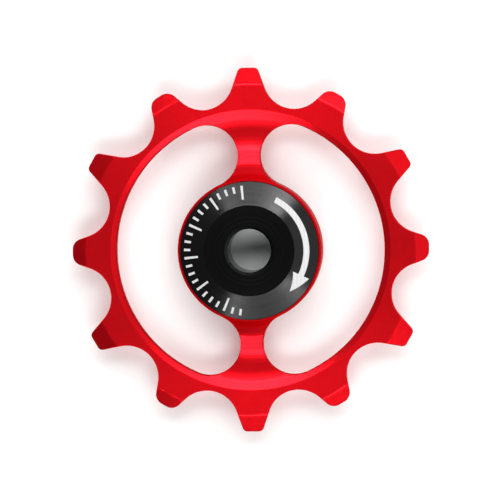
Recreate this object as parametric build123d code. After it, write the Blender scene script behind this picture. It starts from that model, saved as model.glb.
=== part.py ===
from build123d import *

import math
import os

# A derailleur jockey wheel: a toothed aluminium pulley with two spokes, which turns on a ceramic ball
# bearing between two end caps. Sizes are millimetres and angles are degrees. The axle runs along Z, the
# origin is the centre of the wheel and the spokes lie along Y. Both sides of the wheel are alike.

# Teeth, measured from the chain's pitch circle
chain_pitch = 12.7
tooth_count = 12
roller_seat_radius = 4.35
flank_angle = 18.8
tall_tip_height = 0.57
tall_corner_radius = 0.7
round_tip_height = 0.07
round_corner_radius = 1.45
plate_thickness = 2.1
tip_thickness = 0.8
tip_bevel_depth = 1.74
ridge_radius = 1.2
corner_limit = 0.95

# Rim, windows and the dish that is turned between the rim and the hub
rim_wall = 1.69
rim_land = 0.86
dish_slope = 12.0
dish_width = 3.45
web_slope = 12.5
valley_radius = 10.0
spoke_count = 2
spoke_width = 3.1
edge_break = 0.12

# Hub, outside the bearing
foot_width = 1.1
foot_radius = 2.5
cap_ledge = 1.56
lip_wall = 0.35
lip_flat = 0.12
lip_height = 0.6
seat_chamfer = 0.2

# Ball bearing, an 8 x 16 x 5 size
bearing_width = 5.0
ball_count = 9
ball_diameter = 2.38
race_wall = 0.8
groove_depth = 0.5
groove_conformity = 0.52
ring_chamfer = 0.2
seal_thickness = 0.4
seal_recess = 0.1
seal_seat_step = 0.3
horn_height = 0.6

# End caps
axle_radius = 3.0
boss_wall = 1.0
shoulder_width = 1.0
cap_height = 1.6
cap_rim_height = 0.55
cap_face_width = 3.25
bore_chamfer = 0.35

# Clearances
press_clearance = 0.005
ball_clearance = 0.01
pocket_clearance = 0.06
cage_clearance = 0.1
seal_clearance = 0.12
cap_radial_clearance = 0.08
cap_side_clearance = 0.25
boss_gap = 0.1

# Places that follow from the sizes, from the axle outwards
bore_radius = axle_radius + boss_wall
inner_groove_radius = bore_radius + race_wall
inner_land_radius = inner_groove_radius + groove_depth
ball_radius = ball_diameter / 2
ball_circle_radius = inner_groove_radius + ball_clearance + ball_radius
outer_groove_radius = ball_circle_radius + ball_radius + ball_clearance
outer_land_radius = outer_groove_radius - groove_depth
seal_seat_radius = outer_land_radius + seal_seat_step
bearing_radius = outer_groove_radius + race_wall
race_radius = groove_conformity * ball_diameter
lip_inner_radius = bearing_radius + cap_ledge
hub_radius = lip_inner_radius + lip_wall
cap_radius = lip_inner_radius - cap_radial_clearance
half_bearing = bearing_width / 2
seal_seat_height = half_bearing - seal_recess - seal_thickness
lip_top = half_bearing + lip_height
half_plate = plate_thickness / 2

# The rim and the teeth, from the pitch circle inwards
tooth_angle = 360 / tooth_count
pitch_radius = chain_pitch / 2 / math.sin(math.radians(tooth_angle / 2))
root_radius = pitch_radius - roller_seat_radius
window_radius = root_radius - rim_wall
tall_tip_radius = pitch_radius + tall_tip_height
round_tip_radius = pitch_radius + round_tip_height


def turned(*lines):
    """Turn a closed section, drawn as (radius, height), about the axle."""
    section = make_face(Curve() + list(lines))
    return revolve(Plane.XZ * section, Axis.Z)


def both_sides(*lines):
    """The lines of a section's upper half, and the same lines below."""
    upper = Curve() + list(lines)
    return [upper, mirror(upper, about=Plane.XZ)]


def at_angle(radius, angle):
    """The point at a radius and an angle from X in the plane of the wheel."""
    return Vector(radius, 0).rotate(Axis.Z, angle)


def tooth(angle, tip_radius, corner_radius):
    """The line round one tooth, and the arc of the roller seat that follows it."""
    slope = math.radians(flank_angle)
    seat_centre = at_angle(pitch_radius, tooth_angle / 2)
    foot = seat_centre - Vector(math.sin(slope), math.cos(slope)) * roller_seat_radius
    corner = foot + Vector(1, -math.tan(slope)) * (tip_radius - foot.X)
    widest_rounding = corner.Y / math.tan(math.radians(90 - flank_angle) / 2)
    rounding = min(corner_radius, corner_limit * widest_rounding)
    straight = [Vector(foot.X, -foot.Y), Vector(corner.X, -corner.Y), corner, foot]
    points = [point.rotate(Axis.Z, angle) for point in straight]
    seat_bottom = at_angle(root_radius, angle + tooth_angle / 2)
    next_foot = points[0].rotate(Axis.Z, tooth_angle)
    outline = FilletPolyline(*points, radius=rounding)
    seat = ThreePointArc(points[-1], seat_bottom, next_foot)
    return outline.edges() + seat.edges()


def tooth_outline():
    """The face inside all teeth. Tall, square teeth and lower, rounder ones take turns, from a tall one at +Y."""
    edges = ShapeList()
    for index in range(tooth_count):
        angle = 90 + index * tooth_angle
        if index % 2 == 0:
            edges += tooth(angle, tall_tip_radius, tall_corner_radius)
        else:
            edges += tooth(angle, round_tip_radius, round_corner_radius)
    return make_face(edges)


def windows():
    """The kidney-shaped openings that leave the spokes between them."""
    width = window_radius - hub_radius
    middle_radius = (window_radius + hub_radius) / 2
    end_angle = math.degrees(math.asin((spoke_width + width) / 2 / middle_radius))
    sweep = 360 / spoke_count - 2 * end_angle
    window = SlotArc(CenterArc((0, 0), middle_radius, 90 + end_angle, sweep), width)
    return Sketch() + PolarLocations(0, spoke_count) * window


def pulley_blank():
    """The turned blank: bearing seat, ledges and lips for the caps, dished web, flat rim and bevelled edge."""
    seat_radius = bearing_radius + press_clearance
    seat_end = half_bearing - seat_chamfer
    ridge = pitch_radius - tip_bevel_depth
    bevel_slope = (plate_thickness - tip_thickness) / 2 / (tall_tip_radius - ridge)
    blank_radius = tall_tip_radius + edge_break
    blank_edge = half_plate - bevel_slope * (blank_radius - ridge)
    dish_edge = root_radius - rim_land
    valley = dish_edge - dish_width
    valley_height = half_plate - dish_width * math.tan(math.radians(dish_slope))
    foot = hub_radius + foot_width
    foot_height = valley_height + (valley - foot) * math.tan(math.radians(web_slope))
    lip_edge = (lip_inner_radius + lip_flat, lip_top)

    hub = Polyline(
        (seat_radius, seat_end),
        (seat_radius + seat_chamfer, half_bearing),
        (lip_inner_radius, half_bearing),
        (lip_inner_radius, lip_top),
        lip_edge,
    )
    face = FilletPolyline(
        lip_edge,
        (foot, foot_height),
        (valley, valley_height),
        (dish_edge, half_plate),
        (ridge, half_plate),
        (blank_radius, blank_edge),
        radius=[foot_radius, valley_radius, 0, ridge_radius],
    )
    seat = Line((seat_radius, -seat_end), (seat_radius, seat_end))
    edge = Line((blank_radius, -blank_edge), (blank_radius, blank_edge))
    return turned(*both_sides(hub, face), seat, edge)


def pulley():
    """The blank with its teeth and windows milled out and the milled edges broken."""
    blank = pulley_blank()
    plan = extrude(tooth_outline() - windows(), lip_top + edge_break, both=True)
    milled = blank & plan
    return chamfer(new_edges(blank, plan, combined=milled), edge_break)


def groove(land_radius, bottom_radius):
    """The ball groove across a race, and the height at which it meets the land."""
    depth = abs(land_radius - bottom_radius)
    top = math.sqrt(race_radius**2 - (race_radius - depth) ** 2)
    return ThreePointArc((land_radius, -top), (bottom_radius, 0), (land_radius, top)), top


def bearing_inner_ring():
    arc, groove_top = groove(inner_land_radius, inner_groove_radius)
    top = Polyline(
        (bore_radius, half_bearing - ring_chamfer),
        (bore_radius + ring_chamfer, half_bearing),
        (inner_land_radius, half_bearing),
        (inner_land_radius, groove_top),
    )
    bore = Line((bore_radius, -half_bearing + ring_chamfer), (bore_radius, half_bearing - ring_chamfer))
    return turned(*both_sides(top), arc, bore)


def bearing_outer_ring():
    arc, groove_top = groove(outer_land_radius, outer_groove_radius)
    top = Polyline(
        (bearing_radius, half_bearing - ring_chamfer),
        (bearing_radius - ring_chamfer, half_bearing),
        (seal_seat_radius, half_bearing),
        (seal_seat_radius, seal_seat_height),
        (outer_land_radius, seal_seat_height),
        (outer_land_radius, groove_top),
    )
    wall = Line((bearing_radius, -half_bearing + ring_chamfer), (bearing_radius, half_bearing - ring_chamfer))
    return turned(*both_sides(top), arc, wall)


def ball_places():
    return PolarLocations(ball_circle_radius, ball_count)


def ball_cage():
    """A crown of horns that holds the balls apart: a ring with round pockets that open on one side."""
    back = seal_seat_height - cage_clearance
    inner_radius = inner_land_radius + cage_clearance
    outer_radius = outer_land_radius - cage_clearance
    ring = turned(
        Polyline(
            (inner_radius, -back),
            (outer_radius, -back),
            (outer_radius, horn_height),
            (inner_radius, horn_height),
            close=True,
        )
    )
    pocket = Rot(Y=90) * Cylinder(ball_radius + pocket_clearance, ball_diameter)
    return ring - ball_places() * pocket


def bearing_seal():
    """The front seal: a ring that sits on the step of the outer ring and just clears the inner one."""
    inner_radius = inner_land_radius + seal_clearance
    outer_radius = seal_seat_radius - press_clearance
    top = seal_seat_height + seal_thickness
    return turned(
        Polyline(
            (inner_radius, seal_seat_height),
            (outer_radius, seal_seat_height),
            (outer_radius, top),
            (inner_radius, top),
            close=True,
        )
    )


def end_cap():
    """The front cap: a boss in the bearing, a shoulder on its inner ring and a coned flange inside the lip."""
    boss_radius = bore_radius - press_clearance
    boss_end = boss_gap / 2
    shoulder_radius = bore_radius + shoulder_width
    underside = half_bearing + cap_side_clearance
    face = half_bearing + cap_height
    return turned(
        Polyline(
            (axle_radius, boss_end),
            (boss_radius, boss_end),
            (boss_radius, half_bearing),
            (shoulder_radius, half_bearing),
            (shoulder_radius, underside),
            (cap_radius, underside),
            (cap_radius, underside + cap_rim_height),
            (axle_radius + cap_face_width, face),
            (axle_radius + bore_chamfer, face),
            (axle_radius, face - bore_chamfer),
            close=True,
        )
    )


front_seal = bearing_seal()
front_cap = end_cap()
pieces = {
    "pulley": pulley(),
    "bearing_outer_ring": bearing_outer_ring(),
    "bearing_inner_ring": bearing_inner_ring(),
    "ball_cage": ball_cage(),
    "front_seal": front_seal,
    "back_seal": mirror(front_seal, about=Plane.XY),
    "front_cap": front_cap,
    "back_cap": mirror(front_cap, about=Plane.XY),
}
for number, place in enumerate(ball_places(), start=1):
    pieces[f"ball_{number}"] = place * Sphere(ball_radius)

os.makedirs("parts", exist_ok=True)
for name, piece in pieces.items():
    export_step(piece, f"parts/{name}.step")
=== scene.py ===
"""Finishes a derailleur jockey wheel, marks its front cap and sets it on a photo stage."""

import math
from typing import NamedTuple

import bpy
from mathutils import Matrix, Quaternion, Vector


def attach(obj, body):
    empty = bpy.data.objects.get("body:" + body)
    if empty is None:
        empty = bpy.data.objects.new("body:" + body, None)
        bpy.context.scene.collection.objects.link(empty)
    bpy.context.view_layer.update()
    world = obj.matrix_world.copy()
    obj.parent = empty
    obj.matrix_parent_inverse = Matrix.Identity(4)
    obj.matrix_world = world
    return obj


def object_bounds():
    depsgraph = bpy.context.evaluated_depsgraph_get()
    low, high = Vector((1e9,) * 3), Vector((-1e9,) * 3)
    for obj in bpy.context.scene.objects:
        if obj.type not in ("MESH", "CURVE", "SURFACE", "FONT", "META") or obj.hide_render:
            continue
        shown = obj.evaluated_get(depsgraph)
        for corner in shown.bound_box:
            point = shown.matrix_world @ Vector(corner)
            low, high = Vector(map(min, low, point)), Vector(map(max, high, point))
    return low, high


bl_info = {
    "name": "Derailleur jockey wheel",
    "version": (1, 0, 0),
    "blender": (4, 5, 0),
    "location": "3D View > Sidebar > Jockey wheel",
    "description": "Finishes a jockey wheel, marks its front cap and sets it on a photo stage",
    "category": "Object",
}

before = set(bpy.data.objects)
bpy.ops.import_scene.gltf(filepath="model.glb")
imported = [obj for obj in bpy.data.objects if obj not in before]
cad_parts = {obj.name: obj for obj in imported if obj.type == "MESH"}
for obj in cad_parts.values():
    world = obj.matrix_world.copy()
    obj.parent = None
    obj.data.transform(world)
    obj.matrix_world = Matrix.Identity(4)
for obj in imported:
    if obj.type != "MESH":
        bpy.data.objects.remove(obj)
cad_bounds = [list(corner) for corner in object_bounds()]

MM = 0.001
HAIR = 0.001 * MM
CAPS = ("front_cap", "back_cap")
RINGS = ("bearing_outer_ring", "bearing_inner_ring")
SEALS = ("front_seal", "back_seal")
BALLS = tuple(sorted(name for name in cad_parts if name.startswith("ball_") and name != "ball_cage"))

# The middle half of a noise pattern, which holds most of its values
NOISE_LOW = 0.25
NOISE_HIGH = 0.75

# Tool marks: how deep they are, how far the roughness varies across them to each side, and a quarter turn
MARK_DEPTH = 0.01 * MM
GLOSS_SPREAD = 0.03
QUARTER_TURN = 0.25

# A face's level is the size of its normal's Z: 1 on a level face and 0 on an upright wall. Under the first
# level a face is milled and not turned. Painted shade darkens the red most under the second level and not at
# all over the third, and the metal is most matt under the fourth and bright over the fifth.
MILLED_LEVEL = 0.5
SHADED_LEVEL = 0.2
UNSHADED_LEVEL = 0.85
MATT_LEVEL = 0.05
BRIGHT_LEVEL = 0.3

# Points along and across the flat strips that the marks are made of. Those across the neck of the arrow's
# head are a shaft's width apart.
TICK_GRID = (2, 2)
HEAD_GRID = (12, 4)
SHAFT_GRID = (48, 2)

# The tent round the stage: its cloth is brighter towards one side, and a dark hole is open overhead. The
# hole's edge and middle are the Z of a direction.
BRIGHT_SIDE = (0.6, 0.25, -0.3)
CLOTH_MIDDLE = 0.85
CLOTH_LEVEL = 0.8
HOLE_LEVEL = 0.16
HOLE_EDGE = 0.9
HOLE_MIDDLE = 0.97

# From the wheel to a light panel and from the camera to the end of its sight, in metres, and the watts
# that a square metre of panel takes for each unit of radiance
PANEL_REACH = 0.9
SIGHT_END = 10
PANEL_POWER = 4


class SoftPanel(NamedTuple):
    """A soft light panel that faces the wheel. Its place and size are degrees, seen from the wheel."""

    right: float
    up: float
    turn: float
    half_width: float
    half_height: float
    radiance: float


# Panels that show only in glossy surfaces
STRIPS = {
    "upper_strip": SoftPanel(right=0.5, up=21.3, turn=1, half_width=16, half_height=2.9, radiance=14),
    "lower_strip": SoftPanel(right=3.5, up=-23.7, turn=16, half_width=17, half_height=3, radiance=9.5),
    "side_strip": SoftPanel(right=23, up=0, turn=0, half_width=5, half_height=14, radiance=0.6),
}

# Panels that light only matt surfaces, and give the board its soft shadows
GLOWS = {
    "upper_glow": SoftPanel(right=0.5, up=25, turn=1, half_width=20, half_height=7, radiance=2.4),
    "lower_glow": SoftPanel(right=3.5, up=-27, turn=10, half_width=20, half_height=7, radiance=4.1),
    "upper_fill": SoftPanel(right=12, up=40, turn=0, half_width=35, half_height=17, radiance=1.35),
    "lower_fill": SoftPanel(right=12, up=-40, turn=0, half_width=35, half_height=17, radiance=0.5),
}


def linear(code):
    """The linear colour of an sRGB hex code."""
    shares = [int(code[place : place + 2], 16) / 255 for place in (0, 2, 4)]
    return tuple(s / 12.92 if s <= 0.04045 else ((s + 0.055) / 1.055) ** 2.4 for s in shares)


def colour_property(name, description, code):
    """A colour that a user can set, with an sRGB hex code as its default."""
    return bpy.props.FloatVectorProperty(
        name=name, description=description, subtype="COLOR", size=3, min=0, max=1, default=linear(code)
    )


def length_property(name, description, millimetres):
    """A length that a user can set, with its default in millimetres."""
    return bpy.props.FloatProperty(
        name=name, description=description, unit="LENGTH", precision=5, default=millimetres * MM
    )


def angle_property(name, description, degrees):
    """An angle that a user can set, with its default in degrees."""
    return bpy.props.FloatProperty(
        name=name, description=description, subtype="ANGLE", default=math.radians(degrees)
    )


def number_property(name, description, default):
    """A plain number that a user can set."""
    return bpy.props.FloatProperty(name=name, description=description, min=0, default=default)


class FinishSettings(bpy.types.PropertyGroup):
    """Colours and tool marks of the wheel's pieces."""

    red: colour_property("Red", "Dye of the pulley's anodising", "F4101D")
    red_seal: number_property("Red seal", "Weight of the white gloss on the sealed oxide", 0.06)
    # Painted shade: the upright walls keep this share of the red's brightness
    wall_painted_shade: number_property("Wall painted shade", "Share of the red's brightness on the upright walls", 0.5)
    wall_metal: number_property("Wall metal", "Share of bright metal on the upright walls", 0.55)
    patch_size: length_property("Patch size", "Size of the patches in which the dye is deeper", 6)
    # The random patches darken the red up to this share of the way to the walls' painted-shade red
    patch_dye: number_property("Patch dye", "Share of the walls' deeper dye that the patches have", 0.4)
    red_roughness: number_property("Red roughness", "Roughness of the turned metal under the dye", 0.18)
    red_haze: number_property("Red haze", "Share of the light that the grain of the red oxide spreads", 0.38)
    rim_haze: number_property("Rim haze", "The same share on the rim's flat, which has a coarser grain", 0.6)
    rim_inside: length_property("Rim inside", "Radius at which the rim's flat starts", 19.33)
    rim_outside: length_property("Rim outside", "Radius at which the rim's flat ends", 22.8)
    haze_roughness: number_property("Haze roughness", "Roughness of the oxide's grain", 0.5)
    red_grain: number_property("Red grain", "How far the red gloss is drawn out across the tool marks", 0.5)
    black: colour_property("Black", "Dye of the caps' anodising", "060606")
    black_roughness: number_property("Black roughness", "Roughness of the caps between their marks", 0.18)
    black_gloss: number_property("Black gloss", "Specular level of the dyed oxide", 0.28)
    black_grain: number_property("Black grain", "How far the caps' gloss is drawn out across the marks", 0.3)
    feed: length_property("Feed", "Distance between the tool marks of the lathe", 0.3)
    cutter_step: length_property("Cutter step", "Distance between the tool marks of the milled walls", 0.12)
    mark: colour_property("Mark", "Bleached anodising of the marks", "D4D4D4")
    zirconia: colour_property("Zirconia", "Ground ceramic of the bearing's rings", "EDEAE0")
    ball_zirconia: colour_property("Ball zirconia", "Polished ceramic of the balls", "F2F0E8")
    cage: colour_property("Cage", "Moulded plastic of the ball cage", "E6E6DF")
    seal: colour_property("Seal", "Moulded plastic of the seals", "E3E3DE")


class MarkSettings(bpy.types.PropertyGroup):
    """Sizes and places of the marks on the front cap's cone."""

    tick_count: bpy.props.IntProperty(name="Ticks", description="Ticks in the scale", min=2, default=23)
    long_every: bpy.props.IntProperty(
        name="Long every", description="Ticks from one long one to the next", default=4
    )
    first_tick: angle_property("First tick", "Angle of the first tick from +X", 96)
    tick_spacing: angle_property("Tick spacing", "Angle from one tick to the next", 7.5)
    tick_width: length_property("Tick width", "Width of a tick's stroke", 0.3)
    short_tick: length_property("Short tick", "Length of a short tick", 0.9)
    long_tick: length_property("Long tick", "Length of a long tick", 1.9)
    edge_margin: length_property("Edge margin", "Bare rim between the ticks and the cone's edge", 0.5)
    arrow_tip: angle_property("Arrow tip", "Angle of the arrow's tip", -46)
    arrow_neck: angle_property("Arrow neck", "Angle at which the arrow's head meets its shaft", -26)
    arrow_end: angle_property("Arrow end", "Angle at which the arrow's shaft ends", 62)
    shaft_width: length_property("Shaft width", "Width of the arrow's shaft, a third of the head's", 0.8)
    thickness: length_property("Thickness", "Thickness of the marks, half of it above the cone", 0.03)


class StageSettings(bpy.types.PropertyGroup):
    """Camera, floor and lights."""

    view_right: angle_property("View right", "Lean of the camera to the right of straight down", 3.4)
    view_up: angle_property("View up", "Lean of the camera upwards from straight down", 2.1)
    roll: angle_property("Roll", "Turn of the camera about its own line of sight", -0.88)
    distance: length_property("Distance", "From the camera to the plate", 600)
    field: length_property("Field", "Width of the picture at the plate", 69.0)
    aim_right: length_property("Aim right", "From the wheel's centre to the middle of the picture", -0.1)
    aim_up: length_property("Aim up", "From the wheel's centre to the middle of the picture", -0.03)
    floor: colour_property("Floor", "White board under the wheel", "EFF1F1")
    floor_fade: length_property("Floor fade", "From the wheel's centre to where the board fades", 120)
    floor_end: length_property("Floor end", "From the wheel's centre to where the board ends", 240)
    floor_lift: number_property("Floor lift", "How much brighter the camera and mirrors see the board", 1.15)
    tent_light: number_property("Tent light", "How much brighter matt surfaces see the tent", 1.2)


def add_node(tree, kind, inputs=None, **settings):
    """Add a node with its settings. An input is a value, a socket to link from, or a list of such sockets."""
    node = tree.nodes.new(kind)
    for name, value in settings.items():
        setattr(node, name, value)
    for key, value in (inputs or {}).items():
        sources = value if isinstance(value, list) else [value]
        for source in sources:
            if isinstance(source, bpy.types.NodeSocket):
                tree.links.new(source, node.inputs[key])
            else:
                node.inputs[key].default_value = source
    return node


def new_material(name):
    """An empty material, and its node tree."""
    material = bpy.data.materials.new(name)
    material.use_nodes = True
    material.node_tree.nodes.clear()
    return material, material.node_tree


def close_material(tree, shader):
    """Link a shader to the material's output."""
    add_node(tree, "ShaderNodeOutputMaterial", {"Surface": shader.outputs[0]})


def opaque(colour):
    """A colour with full alpha."""
    return (*colour, 1.0)


def tool_marks(tree, finish):
    """Marks of the lathe on faces and of the cutter on walls, and their direction, radius and level."""
    # The lathe's rings are drawn a few times as coarse as real ones, because those are too fine to show.
    coordinates = add_node(tree, "ShaderNodeTexCoord")
    place = coordinates.outputs["Object"]
    flat = add_node(tree, "ShaderNodeVectorMath", {0: place, 1: (1, 1, 0)}, operation="MULTIPLY")
    radius = add_node(tree, "ShaderNodeVectorMath", {0: flat.outputs[0]}, operation="LENGTH")
    turns = add_node(tree, "ShaderNodeMath", {0: radius.outputs["Value"], 1: finish.feed}, operation="DIVIDE")
    turned = add_node(
        tree, "ShaderNodeTexNoise", {"W": turns.outputs[0], "Scale": 1, "Detail": 2}, noise_dimensions="1D"
    )

    # The cutter's marks run up the walls, ten times as long as they are wide
    streak = add_node(tree, "ShaderNodeVectorMath", {0: place, 1: (1, 1, 0.1)}, operation="MULTIPLY")
    milled = add_node(
        tree,
        "ShaderNodeTexNoise",
        {"Vector": streak.outputs[0], "Scale": 1 / finish.cutter_step, "Detail": 2},
    )
    normal = add_node(tree, "ShaderNodeSeparateXYZ", {0: coordinates.outputs["Normal"]})
    level = add_node(tree, "ShaderNodeMath", {0: normal.outputs["Z"]}, operation="ABSOLUTE")
    is_turned = add_node(
        tree, "ShaderNodeMath", {0: level.outputs[0], 1: MILLED_LEVEL}, operation="GREATER_THAN"
    )
    marks = add_node(
        tree,
        "ShaderNodeMix",
        {"Factor": is_turned.outputs[0], "A": milled.outputs["Fac"], "B": turned.outputs["Fac"]},
        data_type="FLOAT",
    )
    across = add_node(tree, "ShaderNodeVectorMath", {0: (0, 0, 1), 1: place}, operation="CROSS_PRODUCT")
    tangent = add_node(
        tree,
        "ShaderNodeVectorTransform",
        {0: across.outputs[0]},
        vector_type="VECTOR",
        convert_from="OBJECT",
        convert_to="WORLD",
    )
    return marks.outputs["Result"], tangent.outputs[0], radius.outputs["Value"], level.outputs[0]


def red_anodised_aluminium(finish):
    """Turned and milled aluminium, dyed red."""
    # The dyed oxide tints the metal's mirror, so even its highlights are red, under a faint white gloss of
    # the seal. The lathe's rings draw the highlights out from the axle, and the oxide's grain spreads a haze
    # round them, most of all on the rim's flat. The milled walls are more matt, and their red is darkened
    # as painted shade on upright faces. The dye is a little deeper in random patches.
    material, tree = new_material("red_anodised_aluminium")
    marks, tangent, radius, level = tool_marks(tree, finish)
    bump = add_node(tree, "ShaderNodeBump", {"Height": marks, "Strength": 0.6, "Distance": MARK_DEPTH})

    # Dye, darker in random patches, with painted shade on the upright walls
    place = add_node(tree, "ShaderNodeTexCoord").outputs["Object"]
    patches = add_node(
        tree,
        "ShaderNodeTexNoise",
        {"Vector": place, "Scale": 1 / finish.patch_size, "Detail": 8, "Roughness": 0.7},
    )
    patch_depth = add_node(
        tree,
        "ShaderNodeMapRange",
        {
            "Value": patches.outputs["Fac"],
            "From Min": NOISE_LOW,
            "From Max": NOISE_HIGH,
            "To Min": finish.patch_dye,
            "To Max": 0.0,
        },
    )
    # Painted shade: upright walls get a darker red than level faces
    painted_wall_shade = add_node(
        tree,
        "ShaderNodeMapRange",
        {"Value": level, "From Min": SHADED_LEVEL, "From Max": UNSHADED_LEVEL, "To Min": 1.0, "To Max": 0.0},
    )
    dye_depth_and_shade = add_node(
        tree, "ShaderNodeMath", {0: patch_depth.outputs[0], 1: painted_wall_shade.outputs[0]}, operation="MAXIMUM"
    )
    deep_dye_and_shade_red = [finish.wall_painted_shade * share for share in finish.red]
    colour = add_node(
        tree,
        "ShaderNodeMix",
        {"Factor": dye_depth_and_shade.outputs[0], "A": opaque(finish.red), "B": opaque(deep_dye_and_shade_red)},
        data_type="RGBA",
    )

    # Gloss of the metal and haze of the oxide's grain. The walls' matt share has no gloss of its own.
    metal = add_node(
        tree,
        "ShaderNodeMapRange",
        {
            "Value": level,
            "From Min": MATT_LEVEL,
            "From Max": BRIGHT_LEVEL,
            "To Min": finish.wall_metal,
            "To Max": 1.0,
        },
    )
    lobes = []
    for roughness in (finish.red_roughness, finish.haze_roughness):
        gloss = add_node(
            tree,
            "ShaderNodeMapRange",
            {
                "Value": marks,
                "From Min": NOISE_LOW,
                "From Max": NOISE_HIGH,
                "To Min": roughness - GLOSS_SPREAD,
                "To Max": roughness + GLOSS_SPREAD,
            },
        )
        lobe = add_node(
            tree,
            "ShaderNodeBsdfPrincipled",
            {
                "Base Color": colour.outputs["Result"],
                "Metallic": metal.outputs[0],
                "Specular IOR Level": 0.0,
                "Specular Tint": opaque(finish.red),
                "Roughness": gloss.outputs[0],
                "Anisotropic": finish.red_grain,
                "Anisotropic Rotation": QUARTER_TURN,
                "Coat Weight": finish.red_seal,
                "Coat Roughness": roughness,
                "Normal": bump.outputs[0],
                "Tangent": tangent,
            },
        )
        lobes.append(lobe.outputs[0])
    middle = (finish.rim_inside + finish.rim_outside) / 2
    half_width = (finish.rim_outside - finish.rim_inside) / 2
    on_rim = add_node(tree, "ShaderNodeMath", {0: radius, 1: middle, 2: half_width}, operation="COMPARE")
    haze = add_node(
        tree,
        "ShaderNodeMapRange",
        {"Value": on_rim.outputs[0], "To Min": finish.red_haze, "To Max": finish.rim_haze},
    )
    shader = add_node(tree, "ShaderNodeMixShader", {0: haze.outputs[0], 1: lobes[0], 2: lobes[1]})
    close_material(tree, shader)
    return material


def black_anodised_aluminium(finish):
    """Turned aluminium, dyed black."""
    # The oxide hides the metal, so the caps are dark with a clear sheen that the lathe's rings draw out.
    material, tree = new_material("black_anodised_aluminium")
    marks, tangent, _, _ = tool_marks(tree, finish)
    roughness = add_node(
        tree,
        "ShaderNodeMapRange",
        {
            "Value": marks,
            "From Min": NOISE_LOW,
            "From Max": NOISE_HIGH,
            "To Min": finish.black_roughness - GLOSS_SPREAD,
            "To Max": finish.black_roughness + GLOSS_SPREAD,
        },
    )
    bump = add_node(tree, "ShaderNodeBump", {"Height": marks, "Strength": 0.15, "Distance": MARK_DEPTH})
    shader = add_node(
        tree,
        "ShaderNodeBsdfPrincipled",
        {
            "Base Color": opaque(finish.black),
            "Roughness": roughness.outputs[0],
            "Specular IOR Level": finish.black_gloss,
            "Anisotropic": finish.black_grain,
            "Anisotropic Rotation": QUARTER_TURN,
            "Normal": bump.outputs[0],
            "Tangent": tangent,
        },
    )
    close_material(tree, shader)
    return material


def bleached_anodising(finish):
    """Marks that a laser has bleached into the black dye."""
    # The bleached oxide scatters light, so the marks are flat white with a faint raster. One pass of the beam
    # is too fine to show, so each line of the raster is as wide as about six passes.
    material, tree = new_material("bleached_anodising")
    beam_step = 0.08 * MM
    dimmest = 0.9
    # The wave texture goes through this many radians in one unit
    wave_radians = 20
    place = add_node(tree, "ShaderNodeTexCoord").outputs["Object"]
    raster = add_node(
        tree,
        "ShaderNodeTexWave",
        {"Vector": place, "Scale": 1 / (beam_step * wave_radians), "Distortion": 1},
    ).outputs["Fac"]
    dim = [dimmest * share for share in finish.mark]
    colour = add_node(
        tree,
        "ShaderNodeMix",
        {"Factor": raster, "A": opaque(dim), "B": opaque(finish.mark)},
        data_type="RGBA",
    )
    bump = add_node(tree, "ShaderNodeBump", {"Height": raster, "Strength": 0.2, "Distance": MARK_DEPTH})
    shader = add_node(
        tree,
        "ShaderNodeBsdfPrincipled",
        {"Base Color": colour.outputs["Result"], "Roughness": 0.7, "Normal": bump.outputs[0]},
    )
    close_material(tree, shader)
    return material


def speckled(name, colour, grain, contrast, roughness, ior):
    """A pale ceramic or plastic whose colour and gloss vary a little from grain to grain."""
    # The grains are drawn far coarser than real ones, which are too fine to show.
    material, tree = new_material(name)
    gloss_share = 0.2
    place = add_node(tree, "ShaderNodeTexCoord").outputs["Object"]
    grains = add_node(
        tree, "ShaderNodeTexNoise", {"Vector": place, "Scale": 1 / grain, "Detail": 4}
    ).outputs["Fac"]
    dim = [(1 - contrast) * share for share in colour]
    tint = add_node(
        tree, "ShaderNodeMix", {"Factor": grains, "A": opaque(dim), "B": opaque(colour)}, data_type="RGBA"
    )
    gloss = add_node(
        tree,
        "ShaderNodeMapRange",
        {"Value": grains, "To Min": (1 - gloss_share) * roughness, "To Max": (1 + gloss_share) * roughness},
    )
    shader = add_node(
        tree,
        "ShaderNodeBsdfPrincipled",
        {"Base Color": tint.outputs["Result"], "Roughness": gloss.outputs[0], "IOR": ior},
    )
    close_material(tree, shader)
    return material


def give_material(names, material):
    """Give one material to CAD nodes."""
    for name in names:
        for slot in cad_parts[name].material_slots:
            slot.material = material


class JOCKEY_OT_pulley(bpy.types.Operator):
    """Finish the toothed pulley as red anodised aluminium"""

    bl_idname = "jockey.pulley"
    bl_label = "Finish the pulley"

    def execute(self, context):
        give_material(["pulley"], red_anodised_aluminium(context.scene.jockey_finish))
        return {"FINISHED"}


class JOCKEY_OT_caps(bpy.types.Operator):
    """Finish the two end caps as black anodised aluminium"""

    bl_idname = "jockey.caps"
    bl_label = "Finish the end caps"

    def execute(self, context):
        give_material(CAPS, black_anodised_aluminium(context.scene.jockey_finish))
        return {"FINISHED"}


class JOCKEY_OT_bearing(bpy.types.Operator):
    """Finish the ball bearing: ceramic rings and balls, plastic cage and seals"""

    bl_idname = "jockey.bearing"
    bl_label = "Finish the bearing"

    def execute(self, context):
        finish = context.scene.jockey_finish
        # Ground zirconia is a milky white with a soft gloss, and the polished balls mirror the room.
        ground = speckled(
            "ground_zirconia", finish.zirconia, grain=0.2 * MM, contrast=0.06, roughness=0.3, ior=2.15
        )
        polished = speckled(
            "polished_zirconia", finish.ball_zirconia, grain=0.4 * MM, contrast=0.03, roughness=0.08, ior=2.15
        )
        # The moulded plastics are matt, with the faint mottling of a sparked mould.
        nylon = speckled(
            "moulded_nylon", finish.cage, grain=0.15 * MM, contrast=0.08, roughness=0.5, ior=1.53
        )
        acetal = speckled(
            "moulded_acetal", finish.seal, grain=0.15 * MM, contrast=0.08, roughness=0.45, ior=1.48
        )
        give_material(RINGS, ground)
        give_material(BALLS, polished)
        give_material(["ball_cage"], nylon)
        give_material(SEALS, acetal)
        return {"FINISHED"}


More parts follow.
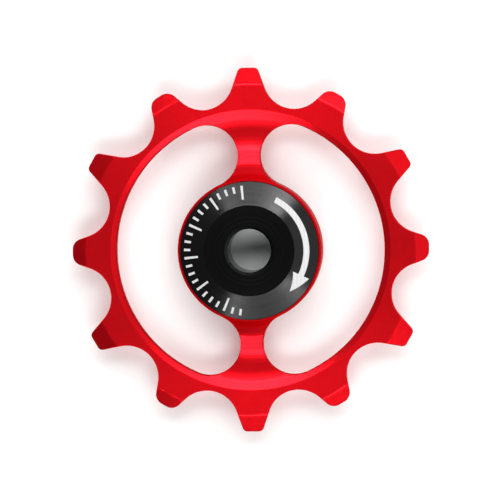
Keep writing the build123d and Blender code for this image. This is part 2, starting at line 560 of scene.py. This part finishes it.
def cone_of(name):
    """Radius and height of a cap's flat face and of the upper edge of its rim, in metres."""
    points = [vertex.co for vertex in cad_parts[name].data.vertices]
    face_height = max(point.z for point in points)
    face_radius = max(point.xy.length for point in points if point.z > face_height - HAIR)
    rim_radius = max(point.xy.length for point in points)
    rim_height = max(point.z for point in points if point.xy.length > rim_radius - HAIR)
    return face_radius, face_height, rim_radius, rim_height


def strip(tree, points, angles, widths, middle):
    """A flat strip, drawn as (radius, angle), from one angle to a larger one, with a width at each."""
    points_along, points_across = points
    half = 0.5
    grid = add_node(
        tree,
        "GeometryNodeMeshGrid",
        {
            "Size X": 2 * half,
            "Size Y": 2 * half,
            "Vertices X": points_across,
            "Vertices Y": points_along,
        },
    )
    position = add_node(tree, "GeometryNodeInputPosition")
    across, along, _ = add_node(tree, "ShaderNodeSeparateXYZ", {0: position.outputs[0]}).outputs
    angle, width = [
        add_node(
            tree,
            "ShaderNodeMapRange",
            {"Value": along, "From Min": -half, "From Max": half, "To Min": first, "To Max": last},
        ).outputs[0]
        for first, last in (angles, widths)
    ]
    radius = add_node(tree, "ShaderNodeMath", {0: across, 1: width, 2: middle}, operation="MULTIPLY_ADD")
    place = add_node(tree, "ShaderNodeCombineXYZ", {"X": radius.outputs[0], "Y": angle})
    drawn = add_node(
        tree, "GeometryNodeSetPosition", {"Geometry": grid.outputs["Mesh"], "Position": place.outputs[0]}
    )
    return drawn.outputs[0]


def on_cone(tree, strips, given):
    """Flat strips joined, made solid and wrapped on the cone."""
    joined = add_node(tree, "GeometryNodeJoinGeometry", {0: strips})
    flat = add_node(tree, "GeometryNodeMergeByDistance", {"Geometry": joined.outputs[0], "Distance": HAIR})
    rise = add_node(tree, "ShaderNodeCombineXYZ", {"Z": given["Thickness"]})
    raised = add_node(
        tree,
        "GeometryNodeExtrudeMesh",
        {"Mesh": flat.outputs[0], "Offset": rise.outputs[0], "Offset Scale": 1.0, "Individual": False},
    )
    underside = add_node(tree, "GeometryNodeFlipFaces", {0: flat.outputs[0]})
    closed = add_node(tree, "GeometryNodeJoinGeometry", {0: [raised.outputs["Mesh"], underside.outputs[0]]})
    solid = add_node(tree, "GeometryNodeMergeByDistance", {"Geometry": closed.outputs[0], "Distance": HAIR})
    position = add_node(tree, "GeometryNodeInputPosition")
    radius, angle, lift = add_node(tree, "ShaderNodeSeparateXYZ", {0: position.outputs[0]}).outputs
    cone = add_node(
        tree,
        "ShaderNodeMath",
        {0: radius, 1: given["Slope"], 2: given["Apex height"]},
        operation="MULTIPLY_ADD",
    )
    height = add_node(tree, "ShaderNodeMath", {0: cone.outputs[0], 1: lift}, operation="ADD")
    section = add_node(tree, "ShaderNodeCombineXYZ", {"X": radius, "Z": height.outputs[0]})
    place = add_node(
        tree, "ShaderNodeVectorRotate", {"Vector": section.outputs[0], "Angle": angle}, rotation_type="Z_AXIS"
    )
    wrapped = add_node(
        tree, "GeometryNodeSetPosition", {"Geometry": solid.outputs[0], "Position": place.outputs[0]}
    )
    return wrapped.outputs[0]


def marks_tree(values):
    """Ticks and an arrow on a cone, with an input for each value, and the inputs' identifiers."""
    tree = bpy.data.node_groups.new("cap_marks", "GeometryNodeTree")
    kinds = {int: "NodeSocketInt", float: "NodeSocketFloat", bpy.types.Material: "NodeSocketMaterial"}
    sockets = {}
    for name, value in values.items():
        socket = tree.interface.new_socket(name, in_out="INPUT", socket_type=kinds[type(value)])
        sockets[name] = socket.identifier
    tree.interface.new_socket("Marks", in_out="OUTPUT", socket_type="NodeSocketGeometry")
    given = add_node(tree, "NodeGroupInput").outputs

    # Scale: a long tick at each beat and short ones between them
    points = add_node(tree, "GeometryNodePoints", {"Count": given["Tick count"]})
    index = add_node(tree, "GeometryNodeInputIndex").outputs[0]
    turn = add_node(
        tree,
        "ShaderNodeMath",
        {0: index, 1: given["Tick spacing"], 2: given["First tick"]},
        operation="MULTIPLY_ADD",
    )
    rotation = add_node(tree, "ShaderNodeCombineXYZ", {"Z": turn.outputs[0]})
    between = add_node(tree, "ShaderNodeMath", {0: index, 1: given["Long every"]}, operation="MODULO")
    beat = add_node(tree, "FunctionNodeBooleanMath", {0: between.outputs[0]}, operation="NOT")
    drawing = []
    for kind, places in (("Long", beat), ("Short", between)):
        length = given[f"{kind} tick"]
        middle = given[f"{kind} middle"]
        flat = strip(tree, TICK_GRID, (0.0, given["Tick angle"]), (length, length), middle)
        ticks = add_node(
            tree,
            "GeometryNodeInstanceOnPoints",
            {
                "Points": points.outputs[0],
                "Selection": places.outputs[0],
                "Instance": on_cone(tree, [flat], given),
                "Rotation": rotation.outputs[0],
            },
        )
        drawing.append(ticks.outputs[0])

    # Arrow: the head's neck has four points, and the shaft starts from the middle two
    tip, neck, end = [given[name] for name in ("Arrow tip", "Arrow neck", "Arrow end")]
    middle = given["Arrow middle"]
    head = strip(tree, HEAD_GRID, (tip, neck), (0.0, given["Head width"]), middle)
    shaft = strip(tree, SHAFT_GRID, (neck, end), (given["Shaft width"], given["Shaft width"]), middle)
    drawing.append(on_cone(tree, [head, shaft], given))

    joined = add_node(tree, "GeometryNodeJoinGeometry", {0: drawing})
    real = add_node(tree, "GeometryNodeRealizeInstances", {0: joined.outputs[0]})
    coloured = add_node(
        tree, "GeometryNodeSetMaterial", {"Geometry": real.outputs[0], "Material": given["Material"]}
    )
    add_node(tree, "NodeGroupOutput", {0: coloured.outputs[0]})
    return tree, sockets


class JOCKEY_OT_marks(bpy.types.Operator):
    """Put a scale of ticks and an arrow for the running direction on the front cap"""

    bl_idname = "jockey.marks"
    bl_label = "Mark the front cap"

    def execute(self, context):
        marks = context.scene.jockey_marks
        face_radius, face_height, rim_radius, rim_height = cone_of("front_cap")
        slope = (rim_height - face_height) / (rim_radius - face_radius)
        middle = (face_radius + rim_radius) / 2
        outer = rim_radius - marks.edge_margin
        tick_angle = marks.tick_width / middle
        values = {
            "Tick count": marks.tick_count,
            "Long every": marks.long_every,
            "First tick": marks.first_tick - tick_angle / 2,
            "Tick spacing": marks.tick_spacing,
            "Tick angle": tick_angle,
            "Short tick": marks.short_tick,
            "Short middle": outer - marks.short_tick / 2,
            "Long tick": marks.long_tick,
            "Long middle": outer - marks.long_tick / 2,
            "Arrow tip": marks.arrow_tip,
            "Arrow neck": marks.arrow_neck,
            "Arrow end": marks.arrow_end,
            "Arrow middle": middle,
            "Shaft width": marks.shaft_width,
            "Head width": (HEAD_GRID[1] - 1) * marks.shaft_width,
            "Slope": slope,
            "Apex height": face_height - slope * face_radius - marks.thickness / 2,
            "Thickness": marks.thickness,
            "Material": bleached_anodising(context.scene.jockey_finish),
        }
        tree, sockets = marks_tree(values)
        seed = bpy.data.objects.new("cap_marks_seed", bpy.data.meshes.new("cap_marks_seed"))
        context.scene.collection.objects.link(seed)
        modifier = seed.modifiers.new("cap_marks", "NODES")
        modifier.node_group = tree
        for name, value in values.items():
            modifier[sockets[name]] = value
        evaluated = seed.evaluated_get(context.evaluated_depsgraph_get())
        mesh = bpy.data.meshes.new_from_object(evaluated)
        bpy.data.objects.remove(seed)
        if not mesh.polygons:
            raise RuntimeError("the marks of the front cap came out empty")
        mesh.name = "cap_marks"
        piece = bpy.data.objects.new("cap_marks", mesh)
        context.scene.collection.objects.link(piece)
        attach(piece, "axle")
        return {"FINISHED"}


def mirroring_rays(tree):
    """One for a ray from the camera, a mirror or a glass, and none for a ray from a matt surface."""
    path = add_node(tree, "ShaderNodeLightPath").outputs
    seen = add_node(
        tree, "ShaderNodeMath", {0: path["Is Camera Ray"], 1: path["Is Glossy Ray"]}, operation="MAXIMUM"
    )
    shown = add_node(
        tree, "ShaderNodeMath", {0: seen.outputs[0], 1: path["Is Transmission Ray"]}, operation="MAXIMUM"
    )
    return shown.outputs[0]


def white_board(stage):
    """Matt white board."""
    # The board is matt paper. Camera and mirrors see it a little brighter, so it is pure white outside the
    # shadows. It fades into the backdrop all round, and is clear from below, so that the wheel's back shows.
    material, tree = new_material("white_board")
    paper_tooth = 0.5 * MM
    place = add_node(tree, "ShaderNodeTexCoord").outputs["Object"]
    fibres = add_node(tree, "ShaderNodeTexNoise", {"Vector": place, "Scale": 1 / paper_tooth}).outputs["Fac"]
    bump = add_node(tree, "ShaderNodeBump", {"Height": fibres, "Strength": 0.05, "Distance": MARK_DEPTH})
    lifted = [stage.floor_lift * share for share in stage.floor]
    colour = add_node(
        tree,
        "ShaderNodeMix",
        {"Factor": mirroring_rays(tree), "A": opaque(stage.floor), "B": opaque(lifted)},
        data_type="RGBA",
    ).outputs["Result"]
    paper = add_node(tree, "ShaderNodeBsdfDiffuse", {"Color": colour, "Normal": bump.outputs[0]})
    clear = add_node(tree, "ShaderNodeBsdfTransparent")
    distance = add_node(tree, "ShaderNodeVectorMath", {0: place}, operation="LENGTH").outputs["Value"]
    edge = add_node(
        tree,
        "ShaderNodeMapRange",
        {"Value": distance, "From Min": stage.floor_fade, "From Max": stage.floor_end},
    )
    from_below = add_node(tree, "ShaderNodeNewGeometry").outputs["Backfacing"]
    is_clear = add_node(tree, "ShaderNodeMath", {0: edge.outputs[0], 1: from_below}, operation="MAXIMUM")
    shader = add_node(
        tree, "ShaderNodeMixShader", {0: is_clear.outputs[0], 1: paper.outputs[0], 2: clear.outputs[0]}
    )
    close_material(tree, shader)
    return material


def lay_floor(context, stage):
    """A wide board just under the wheel."""
    half = stage.floor_end
    gap = 0.02 * MM
    height = cad_bounds[0][2] - gap
    corners = [(-half, -half, height), (half, -half, height), (half, half, height), (-half, half, height)]
    mesh = bpy.data.meshes.new("floor")
    mesh.from_pydata(corners, [], [(0, 1, 2, 3)])
    mesh.materials.append(white_board(stage))
    floor = bpy.data.objects.new("floor", mesh)
    context.scene.collection.objects.link(floor)


def leaning(right, up):
    """The direction that leans to the right and upwards from straight up, by two angles."""
    return Vector((math.tan(right), math.tan(up), 1)).normalized()


def facing(direction):
    """The turn that points a thing's back along a direction and keeps its top towards +Y."""
    right = Vector((0, 1, 0)).cross(direction).normalized()
    top = direction.cross(right)
    return Matrix((right, top, direction)).transposed().to_quaternion()


def hang_panel(context, name, panel, mirrored):
    """A light panel. A mirrored one shows only in glossy surfaces, and any other lights only matt ones."""
    light = bpy.data.lights.new(name, "AREA")
    light.shape = "RECTANGLE"
    light.size = 2 * PANEL_REACH * math.tan(math.radians(panel.half_width))
    light.size_y = 2 * PANEL_REACH * math.tan(math.radians(panel.half_height))
    light.energy = PANEL_POWER * light.size * light.size_y * panel.radiance
    lamp = bpy.data.objects.new(name, light)
    direction = leaning(math.radians(panel.right), math.radians(panel.up))
    lamp.location = PANEL_REACH * direction
    turn = facing(direction) @ Quaternion((0, 0, 1), math.radians(panel.turn))
    lamp.rotation_euler = turn.to_euler()
    lamp.visible_glossy = mirrored
    lamp.visible_diffuse = not mirrored
    context.scene.collection.objects.link(lamp)


def light_room(context, stage):
    """A tent of white cloth, brighter on the right, with a dark hole overhead. The camera sees it white."""
    world = bpy.data.worlds.new("tent")
    context.scene.world = world
    # The tent isn't sampled as a lamp, so that each ray that meets its cloth has its true kind
    world.cycles.sampling_method = "NONE"
    world.use_nodes = True
    tree = world.node_tree
    tree.nodes.clear()
    direction = add_node(tree, "ShaderNodeTexCoord").outputs["Generated"]
    slant = add_node(tree, "ShaderNodeVectorMath", {0: direction, 1: BRIGHT_SIDE}, operation="DOT_PRODUCT")
    cloth = add_node(
        tree, "ShaderNodeMath", {0: slant.outputs["Value"], 1: CLOTH_MIDDLE}, operation="ADD", use_clamp=True
    )
    height = add_node(tree, "ShaderNodeSeparateXYZ", {0: direction}).outputs["Z"]
    hole = add_node(
        tree,
        "ShaderNodeMapRange",
        {
            "Value": height,
            "From Min": HOLE_EDGE,
            "From Max": HOLE_MIDDLE,
            "To Min": CLOTH_LEVEL,
            "To Max": HOLE_LEVEL,
        },
    )
    tent = add_node(tree, "ShaderNodeMath", {0: cloth.outputs[0], 1: hole.outputs[0]}, operation="MULTIPLY")
    share = add_node(
        tree, "ShaderNodeMapRange", {"Value": mirroring_rays(tree), "To Min": stage.tent_light, "To Max": 1.0}
    )
    glow = add_node(tree, "ShaderNodeMath", {0: tent.outputs[0], 1: share.outputs[0]}, operation="MULTIPLY")
    is_seen = add_node(tree, "ShaderNodeLightPath").outputs["Is Camera Ray"]
    backdrop = add_node(tree, "ShaderNodeMath", {0: glow.outputs[0], 1: is_seen}, operation="MAXIMUM")
    sky = add_node(
        tree,
        "ShaderNodeBackground",
        {"Color": opaque(linear("FFFFFF")), "Strength": backdrop.outputs[0]},
    )
    add_node(tree, "ShaderNodeOutputWorld", {0: sky.outputs[0]})


def stand_camera(context, stage):
    """A long lens that looks down on the plate."""
    aim = Vector((stage.aim_right, stage.aim_up, 0))
    direction = leaning(stage.view_right, stage.view_up)
    lens = bpy.data.cameras.new("camera")
    lens.lens = lens.sensor_width * stage.distance / stage.field
    lens.clip_end = SIGHT_END
    camera = bpy.data.objects.new("camera", lens)
    camera.location = aim + stage.distance * direction
    turn = facing(direction) @ Quaternion((0, 0, 1), stage.roll)
    camera.rotation_euler = turn.to_euler()
    context.scene.collection.objects.link(camera)
    context.scene.camera = camera


class JOCKEY_OT_stage(bpy.types.Operator):
    """Set the floor, the lights and the camera"""

    bl_idname = "jockey.stage"
    bl_label = "Set the stage"

    def execute(self, context):
        stage = context.scene.jockey_stage
        context.scene.view_settings.view_transform = "Standard"
        lay_floor(context, stage)
        light_room(context, stage)
        for name, panel in STRIPS.items():
            hang_panel(context, name, panel, mirrored=True)
        for name, panel in GLOWS.items():
            hang_panel(context, name, panel, mirrored=False)
        stand_camera(context, stage)
        return {"FINISHED"}


OPERATORS = (JOCKEY_OT_pulley, JOCKEY_OT_caps, JOCKEY_OT_bearing, JOCKEY_OT_marks, JOCKEY_OT_stage)
SETTINGS = {"jockey_finish": FinishSettings, "jockey_marks": MarkSettings, "jockey_stage": StageSettings}


class JOCKEY_PT_sidebar(bpy.types.Panel):
    """Steps and settings of the jockey wheel"""

    bl_idname = "JOCKEY_PT_sidebar"
    bl_label = "Jockey wheel"
    bl_space_type = "VIEW_3D"
    bl_region_type = "UI"
    bl_category = "Jockey wheel"

    def draw(self, context):
        for operator in OPERATORS:
            self.layout.operator(operator.bl_idname)
        for name in SETTINGS:
            settings = getattr(context.scene, name)
            box = self.layout.box()
            for key in settings.__annotations__:
                box.prop(settings, key)


def register():
    """Add the settings, the operators and the panel to Blender."""
    for group in SETTINGS.values():
        bpy.utils.register_class(group)
    for name, group in SETTINGS.items():
        setattr(bpy.types.Scene, name, bpy.props.PointerProperty(type=group))
    for operator in OPERATORS:
        bpy.utils.register_class(operator)
    bpy.utils.register_class(JOCKEY_PT_sidebar)


def unregister():
    """Take the panel, the operators and the settings out of Blender."""
    bpy.utils.unregister_class(JOCKEY_PT_sidebar)
    for operator in reversed(OPERATORS):
        bpy.utils.unregister_class(operator)
    for name in SETTINGS:
        delattr(bpy.types.Scene, name)
    for group in reversed(SETTINGS.values()):
        bpy.utils.unregister_class(group)


def main():
    """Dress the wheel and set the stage."""
    register()
    bpy.ops.jockey.pulley()
    bpy.ops.jockey.caps()
    bpy.ops.jockey.bearing()
    bpy.ops.jockey.marks()
    bpy.ops.jockey.stage()


if __name__ == "__main__":
    main()
